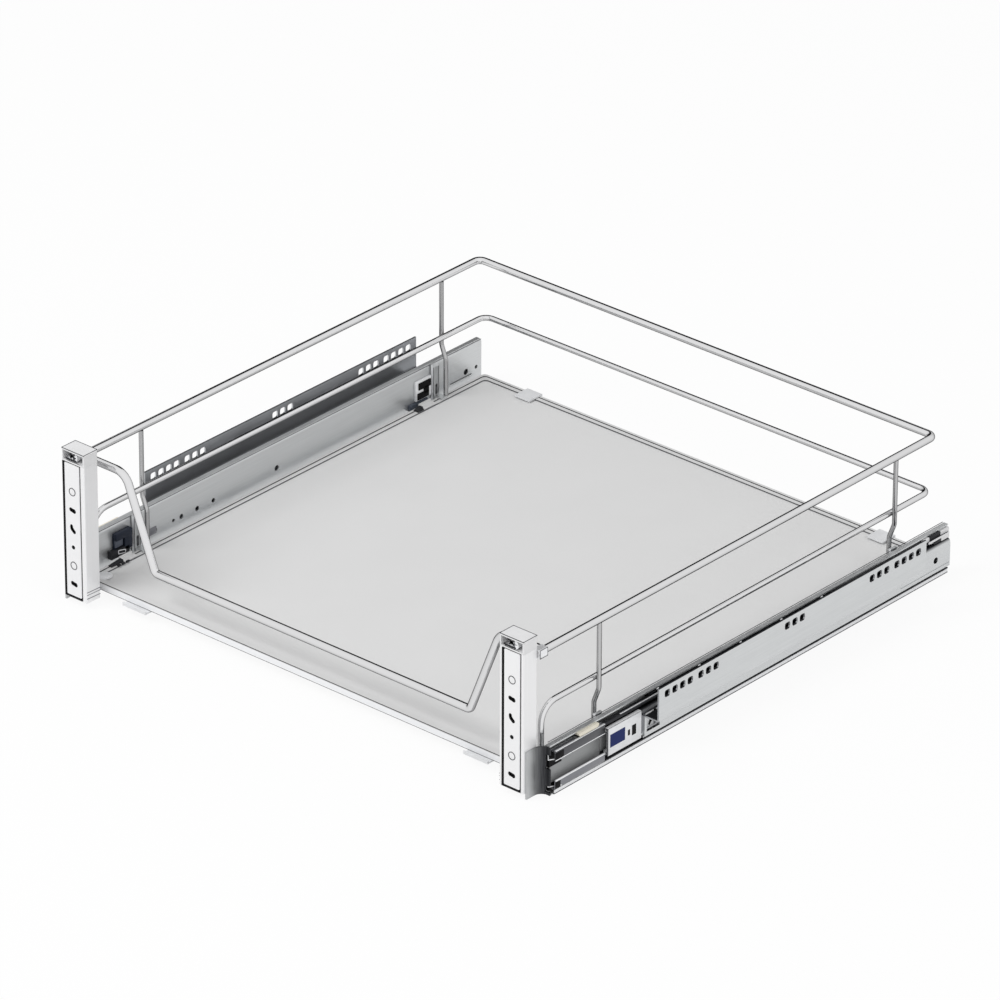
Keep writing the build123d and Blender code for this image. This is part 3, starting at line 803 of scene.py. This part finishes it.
class DRAWER_OT_tray(bpy.types.Operator):
    """Fold the border of the tray and finish the floor panel, clips and keepers"""

    bl_idname = "drawer.tray"
    bl_label = "Tray"

    def execute(self, context):
        edge = context.scene.drawer_sizes.edge_break
        border()
        dress("base_panel", "panel")
        dress("panel_clips", "clip", edge)
        dress("side_keepers", "tray", edge)
        dress("keeper_wedges", "dark", edge)
        for side in SIDES:
            clip_marks(side)
        return {"FINISHED"}


# middle and front face of a fixing plate, and its six openings from the top down
PLATE_MIDDLE = 239.2
PLATE_FACE = -1.2
OPENING_ROWS = [105.5 - 17.08 * place for place in range(6)]


def recess_wall_shade(side, middle):
    """Black strips beside and below the fixing plate, always on its left: painted shade on the
    walls of the recess round the plate.
    """
    near, far, low, high = middle - 10.9, middle - 8.0, 6.7, 131.0
    front, rear = PLATE_FACE + 0.1, -0.3
    beside = ((near, front, low), (far, rear, high))
    below = ((far, front, low), (middle + 8.1, rear, low + 2.5))
    # painted shade of the recess walls
    mesh = blocks(1, (beside, below), 0.15)
    piece("recess_wall_shade_" + side, mesh, "rubber")


def openings(side, middle):
    """Black sheets in the slots, the bean and the small hole, as painted shade of the hollow
    upright behind, and the rivets' rims.
    """
    across, y = (0, 0.5, 0), PLATE_FACE + 0.15
    mesh = bmesh.new()
    # painted shade in the openings
    for z in (OPENING_ROWS[1], OPENING_ROWS[5]):
        ends = (middle - 1.9, y, z + 0.5), (middle + 1.9, y, z - 0.5)
        rounded_slot(mesh, *ends, 1.75, across)
    z = OPENING_ROWS[2]
    rounded_slot(mesh, (middle - 1.6, y, z + 2.3), (middle - 1.2, y, z), 1.5, across)
    rounded_slot(mesh, (middle - 1.2, y, z), (middle + 1.4, y, z - 2.4), 1.7, across)
    disc(mesh, (middle, y, OPENING_ROWS[3]), 1.8, across)
    piece("opening_shade_" + side, mesh, "rubber")
    mesh = bmesh.new()
    for z in (OPENING_ROWS[0], OPENING_ROWS[4]):
        bead_ring(mesh, (middle, PLATE_FACE, z), 3.35, 0.36, (0, 1, 0))
    piece("rivet_rims_" + side, mesh, "rim")


def cap_parts(side, middle):
    """Latch bars and cam nut in the open front of the cap, and the joint of its lid."""
    left = SIGN[side] * 238.3 - 12.7
    mesh = bmesh.new()
    # bars in the opening: start and end from the cap's left, both heights, width
    for start, end, start_z, end_z, width in (
        (4, 16, 134.2, 134.2, 1.3),
        (5, 20, 132.2, 132.2, 0.9),
        (9.5, 14.5, 140.5, 136.0, 1.5),
        (9.5, 14.5, 136.0, 140.5, 1.5),
    ):
        y = PLATE_FACE + 1.2
        ends = (left + start, y, start_z), (left + end, y, end_z)
        bar(mesh, *ends, (0, 0.6, 0), width)
    disc(mesh, (middle - 1.5, PLATE_FACE + 1.4, 137.9), 1.7, (0, 1, 0), sides=6)
    piece("cap_latch_" + side, mesh, "dark")
    near, far, front, rear, z = left + 0.5, left + 25.0, PLATE_FACE + 0.4, 15.4, 142.75
    corners = [(near, front, z), (far, front, z), (far, rear, z), (near, rear, z)]
    mesh = bmesh.new()
    bar_frame(mesh, corners, (0, 0, 0.5), 0.55)
    piece("cap_lid_seam_" + side, mesh, "seam")


def tie_lines(side):
    """Folded edges of the tray's tie where it meets the inner side of the upright."""
    x = SIGN[side] * 225.55
    mesh = bmesh.new()
    for z, width in ((15.6, 0.6), (13.2, 0.5), (9.8, 0.6)):
        bar(mesh, (x, -0.4, z + 0.6), (x, 15.2, z), (0.3, 0, 0), width)
    piece("upright_tie_" + side, mesh, "dark_zinc")


class DRAWER_OT_uprights(bpy.types.Operator):
    """Finish the uprights with their seals, plates, openings and caps"""

    bl_idname = "drawer.uprights"
    bl_label = "Uprights"

    def execute(self, context):
        edge = context.scene.drawer_sizes.edge_break
        for side in SIDES:
            dress("upright_" + side, "aluminium", edge)
            dress("gasket_" + side, "rubber")
            dress("fixing_plate_" + side, "aluminium")
            dress("upright_cap_" + side, "cap", edge)
            dress("adjuster_" + side, "white", edge)
            middle = SIGN[side] * PLATE_MIDDLE
            recess_wall_shade(side, middle)
            openings(side, middle)
            cap_parts(side, middle)
            tie_lines(side)
        dress("plate_rivets", "aluminium")
        return {"FINISHED"}


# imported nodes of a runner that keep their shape, by finish: with rounded edges, and as they are
ROUNDED = {
    "zinc": ("drawer_rail", "front_hanger", "rear_hanger"),
    "white": ("soft_close_housing", "soft_close_catch"),
    "cap": ("rear_stop",),
    "rubber": ("front_stop",),
    "cream": ("guide_pad",),
    "bracket": ("front_bracket",),
}
PLAIN = {
    "shaded": ("outer_ball_cage", "inner_ball_cage"),
    "chrome": ("outer_balls", "inner_balls"),
}
# depths of the middle rail's lipped mouth, and where the cabinet rail starts to show
MOUTH_FRONT, MOUTH_REAR = 22.7, 83.0
CABINET_RAIL_FRONT = 84.5
# front faces of the two hangers
HANGERS = {"front": 83.0, "rear": 455.3}


def rails(side, edge):
    """Cabinet rail behind the label, and the middle rail behind its mouth."""
    # the cabinet rail takes the plate's painted shade by facing; the middle rail's body takes the
    # black of painted shade
    for name, front, finish, body in (
        ("cabinet_rail", CABINET_RAIL_FRONT, "plate_" + side, "cabinet_side"),
        ("middle_rail", MOUTH_REAR, "shaded", "middle_" + side),
    ):
        node = name + "_" + side
        mesh = cut_front(node, front)
        piece(name + "_body_" + side, mesh, finish, body, [node], edge)


def mouth(side):
    """Lipped mouth of the middle rail with painted shade on its upper lip, painted highlights on
    its runway and beads, and black sheets as painted shade in its pockets.
    """
    sign, body, slot = SIGN[side], "middle_" + side, "runner_steel"
    web, lip, top, low = 257.7, 263.4, 39.4, 5.6
    section = ((lip, 31.4), (lip, top), (web, top), (web, low), (lip, low), (lip, 13.6))
    section = [(sign * x, z) for x, z in section]
    mesh = folded_channel(section, MOUTH_FRONT, MOUTH_REAR, 1.6)
    # faces of the upper lip take painted shade; the web keeps its own mid grey
    for face in mesh.faces:
        middle = face.calc_center_median() / MM
        shaded_upper_lip = middle.z > 31 and abs(middle.x) > 262
        face.material_index = 2 if abs(middle.x) < 259 else int(shaded_upper_lip)
    finishes = ("dark_zinc", "lip_shade", "web")
    thing = piece("middle_rail_mouth_" + side, mesh, finishes, body)
    sheet = thing.modifiers.new("Sheet", "SOLIDIFY")
    sheet.thickness = 1.2 * MM
    sheet.offset = 0
    round_off(thing, 0.35 * MM, 60)
    # painted highlights: bright strips along the middle rail's top edge
    rows = (
        ((261.3, 103, 39.9), (262.7, 519, 40.3)),
        ((262.4, 23.4, 39.7), (264.1, MOUTH_REAR, 40.25)),
    )
    boxes("middle_rail_painted_highlight", side, "bright_zinc", rows, 0.15, body)
    # painted highlights: bright beads along the lips' rounded edges
    for name, z, radius in (("upper", 31.6, 0.6), ("lower", 13.2, 0.9)):
        points = [at(sign * 263.6, y, z) for y in (23.0, MOUTH_REAR)]
        mesh = wire(points, [], radius * MM, sides=14)
        name = "middle_rail_" + name + "_highlight_bead_" + side
        piece(name, mesh, "bright_zinc", body)
    # painted shade: thin black sheets on the lips' front ends stand for the dark pockets of the
    # mouth
    rows = (
        ((263.9, 22.6, 32.2), (264.2, 33.0, 38.4)),
        ((263.9, 22.6, 6.2), (264.2, 29.0, 12.4)),
    )
    boxes("middle_rail_pocket_shade", side, "rubber", rows, 0.12, body)


def label(side):
    """Blank sticker with a plain block and two sight slots, folded over the rail's edge."""
    body = "cabinet_side"
    rows = (
        ((265.85, 84.2, 11.0), (266.35, 124.5, 35.9)),
        ((262.9, 84.2, 35.15), (266.35, 124.5, 35.9)),
    )
    printed = (
        ((266.3, 86.4, 17.8), (266.5, 104.4, 29.4), 1),
        ((266.3, 108.0, 19.8), (266.5, 110.5, 24.8), 2),
        ((266.3, 113.0, 18.0), (266.5, 117.9, 27.0), 2),
    )
    finishes = ("label", "label_blue", "rubber")
    boxes("sticker", side, finishes, rows, 0.2, body, sharp=printed)
    rows = [((265.9, 83.4, 10.6), (266.3, 84.2, 35.6))]
    boxes("sticker_edge", side, "seam", rows, body=body)


def window(side):
    """Dark strips at the left and top of the catch window, painted shade where the sticker's edge
    shades the set-back catch, and the catch's inlays.
    """
    # painted shade: dark strips at the window's left and top
    rows = (
        ((265.8, 124.6, 15.0), (266.5, 126.4, 33.0)),
        ((265.8, 124.6, 31.2), (266.5, 146.0, 33.0)),
    )
    boxes("window_shade_strips", side, "dark_zinc", rows, 0.25, "cabinet_side")
    sign = SIGN[side]
    mesh = bmesh.new()
    across, x = (sign * 0.2, 0, 0), sign * 262.3
    bar(mesh, (x, 137.8, 21.6), (x, 143.9, 26.0), across, 1.9)
    bar(mesh, (x, 138.4, 15.6), (x, 143.9, 22.4), across, 2.2)
    disc(mesh, (x, 140.6, 19.2), 3.0, across, sides=3)
    piece("catch_inlay_" + side, mesh, "rubber", "catch_" + side)


def bracket_edge_highlights(side):
    """Painted highlights on the edges round the two openings at the end of the front bracket."""
    sign = SIGN[side]
    mesh = bmesh.new()
    # painted highlights: bright bars on the openings' edges
    for low, high in ((31.8, 40.6), (7.4, 15.6)):
        x, y = sign * 258.9, 19.95
        bar(mesh, (x, y, low), (x, y, high), (0, 0.4, 0), 0.9)
        ends = (sign * 258.6, 19.9, low), (sign * 264.6, 30.0, low)
        bar(mesh, *ends, (0, 0, 0.8), 0.5)
    piece("bracket_opening_highlights_" + side, mesh, "bright_zinc")


def latch(side):
    """Release latch: a backing plate, thumb bar, two fingers, and a foot with a frame."""
    sign = SIGN[side]
    # from the rail's face toward the basket
    back, plate, finger, foot, front = 254.6, 252.7, 251.2, 249.9, 249.4
    rows = (
        ((back, 60.0, 16.5), (plate, 79.4, 37.4)),
        ((plate, 60.0, 31.4), (front, 79.2, 37.5)),
        ((plate, 70.6, 19.5), (foot, 79.4, 31.4)),
        ((plate, 60.2, 24.4), (finger, 69.6, 31.4), 1),
        ((back, 54.2, 15.9), (foot, 76.0, 23.0), 2),
    )
    mesh = blocks(sign, rows, 0.35)
    corners = ((62.6, 22.2), (71.0, 20.2), (71.0, 17.2), (62.6, 19.0))
    corners = [(sign * 249.85, y, z) for y, z in corners]
    bar_frame(mesh, corners, (sign * 0.25, 0, 0), 0.6, 3)
    name, finishes = "release_latch_" + side, ("navy", "slate", "dark", "white")
    names = ["front_latch_" + side]
    piece(name, mesh, finishes, "latch_" + side, names)
    rows = [((254.85, 104.6, 17.2), (254.3, 113.0, 24.0))]
    boxes("rail_pad", side, "dark_zinc", rows, 0.15)


def hook(side):
    """Rear hook: a pale carrier with a black S-shaped hook and a slate foot."""
    back, plate, front = 254.75, 252.6, 251.4
    rows = (
        ((back, 434.6, 17.4), (plate, 454.6, 36.0), 1),
        ((plate, 437.6, 27.6), (front, 453.0, 34.0)),
        ((plate, 436.2, 18.6), (front, 450.4, 24.6)),
        ((plate, 444.2, 22.6), (front, 450.4, 29.6)),
        ((back, 426.0, 11.4), (front, 449.0, 16.8), 2),
    )
    finishes, names = ("rubber", "white", "slate"), ["rear_hook_" + side]
    boxes("rear_hook_body", side, finishes, rows, 0.3, replaces=names)


def rear_end(side):
    """End cap of the drawer rail, grip of the rear stop, and the cabinet rail's lower lip."""
    rows = (
        ((256.2, 513.0, 0.9), (260.9, 521.6, 3.4)),
        ((258.8, 518.4, 3.2), (260.4, 521.0, 4.2), 1),
    )
    boxes("rail_end_cap", side, ("dark", "white"), rows, 0.3)
    rows = (
        ((258.2, 495.0, 39.2), (262.7, 509.5, 43.5)),
        ((263.9, 499.0, 35.6), (264.4, 508.5, 38.4)),
    )
    pale = (
        ((263.9, 492.0, 38.4), (264.3, 519.0, 40.2), 1),
        ((263.9, 508.5, 35.4), (264.3, 519.0, 38.4), 1),
    )
    body, finishes = "middle_" + side, ("dark", "cap")
    boxes("rear_stop_grip", side, finishes, rows, 0.3, body, sharp=pale)
    rows = [((264.9, 127.5, 9.4), (265.78, 518.9, 12.5))]
    boxes("cabinet_rail_lip", side, "zinc", rows, 0.15, "cabinet_side")


def rail_lines(side):
    """Painted shade along the drawer rail's top and bottom edges and a painted highlight on its
    lower lip; web of the middle rail.
    """
    finishes, slot = ("seam", "bright_zinc"), "runner_steel"
    # painted shade lines, then a pale strip as painted highlight
    rows = (
        ((254.7, 24.0, 44.7), (255.3, 521.7, 45.1)),
        ((260.3, 24.0, 0.0), (261.7, 521.7, 0.9)),
    )
    pale = [((261.1, 24.2, 0.9), (261.65, 521.5, 3.7), 1)]
    boxes("drawer_rail_edge_shade", side, finishes, rows, 0.1, sharp=pale)
    rows = [((258.2, 82.9, 13.0), (258.45, 97.0, 32.0))]
    boxes("middle_rail_web", side, "web", rows, 0.05, "middle_" + side)


def hanger_folds(side, place, front):
    """Painted shade along the folds and in the punched slot, and a painted highlight down the
    front of a hanger of the tray.
    """
    sign = SIGN[side]
    mesh = bmesh.new()
    # upright bars on the front face: place across, both heights, width, finish
    # two dark bars of painted shade and a bright bar of painted highlight
    for x, low, high, width, finish in (
        (254.5, 12.0, 45.4, 0.5, 0),
        (250.75, 12.0, 43.2, 0.5, 0),
        (252.6, 13.0, 45.0, 2.4, 1),
    ):
        x, y = sign * x, front - 0.05
        bar(mesh, (x, y, low), (x, y, high), (0, 0.3, 0), width, finish)
    # on the face toward the basket
    across, x, y = (0.3, 0, 0), sign * 250.35, front + 3.2
    rounded_slot(mesh, (x, y, 18.3), (x, y, 25.7), 1.3, across)
    y = front + 6.1
    bar(mesh, (x, y, 17.0), (x, y, 43.2), across, 0.5)
    piece(place + "_hanger_folds_" + side, mesh, ("seam", "bright_zinc"))


class DRAWER_OT_runners(bpy.types.Operator):
    """Finish the runners with their plates, balls, stops, latches and soft-close units"""

    bl_idname = "drawer.runners"
    bl_label = "Runners"

    def execute(self, context):
        edge = context.scene.drawer_sizes.edge_break
        for side in SIDES:
            for table, width in ((ROUNDED, edge), (PLAIN, 0)):
                for finish, names in table.items():
                    for name in names:
                        dress(name + "_" + side, finish, width)
            dress("mounting_plate_" + side, "plate_" + side, edge)
            rails(side, edge)
            mouth(side)
            label(side)
            window(side)
            bracket_edge_highlights(side)
            latch(side)
            hook(side)
            rear_end(side)
            rail_lines(side)
            for place, front in HANGERS.items():
                hanger_folds(side, place, front)
        return {"FINISHED"}


# the camera's turn round the drawer, its height and its tilt in degrees, and its place
AZIMUTH, ELEVATION, ROLL = (math.radians(angle) for angle in (41.269, 27.673, 0.165))
CAMERA_PLACE = (4.001245, -4.563325, 3.261696)
# how white the floor shows where nothing shades it
FLOOR_SHARE = 0.92


def shown_white(owner):
    """1 for rays that show the background as white: camera, mirror and glass."""
    path = add(owner, "LightPath")
    share = path.outputs["Is Camera Ray"]
    for name in ("Is Glossy Ray", "Is Transmission Ray"):
        rays = {0: share, 1: path.outputs[name]}
        share = add(owner, "Math", {"operation": "MAXIMUM"}, rays).outputs[0]
    return share


def sheet(name, finish, size, place=Matrix()):
    """Flat sheet of the set, which is no part of the drawer."""
    mesh = bmesh.new()
    bmesh.ops.create_grid(mesh, x_segments=1, y_segments=1, size=size, matrix=place)
    data = bpy.data.meshes.new(name)
    mesh.to_mesh(data)
    mesh.free()
    data.materials.append(finish)
    thing = bpy.data.objects.new(name, data)
    bpy.context.scene.collection.objects.link(thing)
    return thing


def studio_floor():
    """Pale floor that keeps a soft shadow."""
    finish = empty_material("white_studio_floor")
    matt = add(finish, "BsdfDiffuse", links={"Color": linear("F0F0F0")})
    white = add(finish, "Emission", links={"Color": (1, 1, 1, 1), "Strength": 1.0})
    share = {0: shown_white(finish), 1: FLOOR_SHARE}
    share = add(finish, "Math", {"operation": "MULTIPLY"}, share)
    mixed = {0: share.outputs[0], 1: matt.outputs[0], 2: white.outputs[0]}
    mix = add(finish, "MixShader", links=mixed)
    add(finish, "OutputMaterial", links={"Surface": mix.outputs[0]})
    sheet("floor", finish, 12)


def studio_sky(context, settings):
    """Even white sky; it is shown as plain white."""
    world = bpy.data.worlds.new("studio_sky")
    context.scene.world = world
    world.use_nodes = True
    background = world.node_tree.nodes["Background"]
    background.inputs["Color"].default_value = (1, 1, 1, 1)
    strengths = {"Value": shown_white(world), "To Min": settings.world, "To Max": 1.0}
    strength = add(world, "MapRange", links=strengths)
    link(world, strength.outputs["Result"], background, "Strength")


def studio_lamp(context, name, place, size, power):
    """Round soft lamp aimed at the drawer; mirrors don't show it."""
    data = bpy.data.lights.new(name, "AREA")
    data.shape = "DISK"
    data.size = size
    data.energy = power
    lamp = bpy.data.objects.new(name, data)
    context.scene.collection.objects.link(lamp)
    lamp.location = place
    aim = Vector((0, 0, 0.05)) - lamp.location
    lamp.rotation_euler = aim.to_track_quat("-Z", "Y").to_euler()
    lamp.visible_glossy = False


def dark_card():
    """Dark card behind the left rear corner that only mirrors see: it outlines the wires."""
    finish = empty_material("black_felt_card")
    felt = add(finish, "BsdfDiffuse", links={"Color": linear("363638")})
    add(finish, "OutputMaterial", links={"Surface": felt.outputs[0]})
    toward_drawer = Vector((0.65, -0.76, 0))
    place = facing((-0.95, 1.1, 0.45), toward_drawer) @ Matrix.Diagonal((0.45, 2.0, 1, 1))
    card = sheet("dark_card", finish, 1, place)
    for rays in ("camera", "diffuse", "shadow", "transmission"):
        setattr(card, "visible_" + rays, False)


def studio_camera(context, settings):
    """Long lens from the front right, above the basket."""
    ahead, across = math.cos(AZIMUTH), math.sin(AZIMUTH)
    level, down = math.cos(ELEVATION), math.sin(ELEVATION)
    right = Vector((ahead, across, 0))
    forward = Vector((-across * level, ahead * level, -down))
    up = right.cross(forward)
    turned_right = right * math.cos(ROLL) + up * math.sin(ROLL)
    turned_up = up * math.cos(ROLL) - right * math.sin(ROLL)
    data = bpy.data.cameras.new("camera")
    data.lens = settings.lens
    data.sensor_width = 36
    camera = bpy.data.objects.new("camera", data)
    context.scene.collection.objects.link(camera)
    place = Matrix((turned_right, turned_up, -forward)).transposed().to_4x4()
    place.translation = CAMERA_PLACE
    camera.matrix_world = place
    context.scene.camera = camera


class DRAWER_OT_stage(bpy.types.Operator):
    """Set up the pale floor, the soft lamps and the camera"""

    bl_idname = "drawer.stage"
    bl_label = "Stage"

    def execute(self, context):
        settings = context.scene.drawer_studio
        studio_floor()
        studio_sky(context, settings)
        studio_lamp(context, "key_lamp", (-1.2, -2.4, 3.2), 2.4, settings.key)
        studio_lamp(context, "fill_lamp", (3.2, -0.6, 2.2), 2.0, settings.fill)
        dark_card()
        studio_camera(context, settings)
        context.scene.view_settings.view_transform = "Standard"
        return {"FINISHED"}


class DRAWER_PT_panel(bpy.types.Panel):
    """Buttons for the drawer's groups and the stage"""

    bl_idname = "DRAWER_PT_panel"
    bl_label = "Basket Drawer"
    bl_space_type = "VIEW_3D"
    bl_region_type = "UI"
    bl_category = "Basket Drawer"

    def draw(self, context):
        layout, scene = self.layout, context.scene
        for group in (scene.drawer_sizes, scene.drawer_finish, scene.drawer_studio):
            column = layout.column(align=True)
            for name in group.__annotations__:
                column.prop(group, name)
        for operator in OPERATORS:
            layout.operator(operator.bl_idname)


OPERATORS = (
    DRAWER_OT_basket_rails,
    DRAWER_OT_tray,
    DRAWER_OT_uprights,
    DRAWER_OT_runners,
    DRAWER_OT_stage,
)
CLASSES = (DrawerSizes, DrawerFinish, StudioSettings, *OPERATORS, DRAWER_PT_panel)


def register():
    for item in CLASSES:
        bpy.utils.register_class(item)
    bpy.types.Scene.drawer_sizes = PointerProperty(type=DrawerSizes)
    bpy.types.Scene.drawer_finish = PointerProperty(type=DrawerFinish)
    bpy.types.Scene.drawer_studio = PointerProperty(type=StudioSettings)


def unregister():
    del bpy.types.Scene.drawer_sizes
    del bpy.types.Scene.drawer_finish
    del bpy.types.Scene.drawer_studio
    for item in reversed(CLASSES):
        bpy.utils.unregister_class(item)


def main():
    register()
    bpy.ops.drawer.basket_rails()
    bpy.ops.drawer.tray()
    bpy.ops.drawer.uprights()
    bpy.ops.drawer.runners()
    bpy.ops.drawer.stage()


if __name__ == "__main__":
    main()
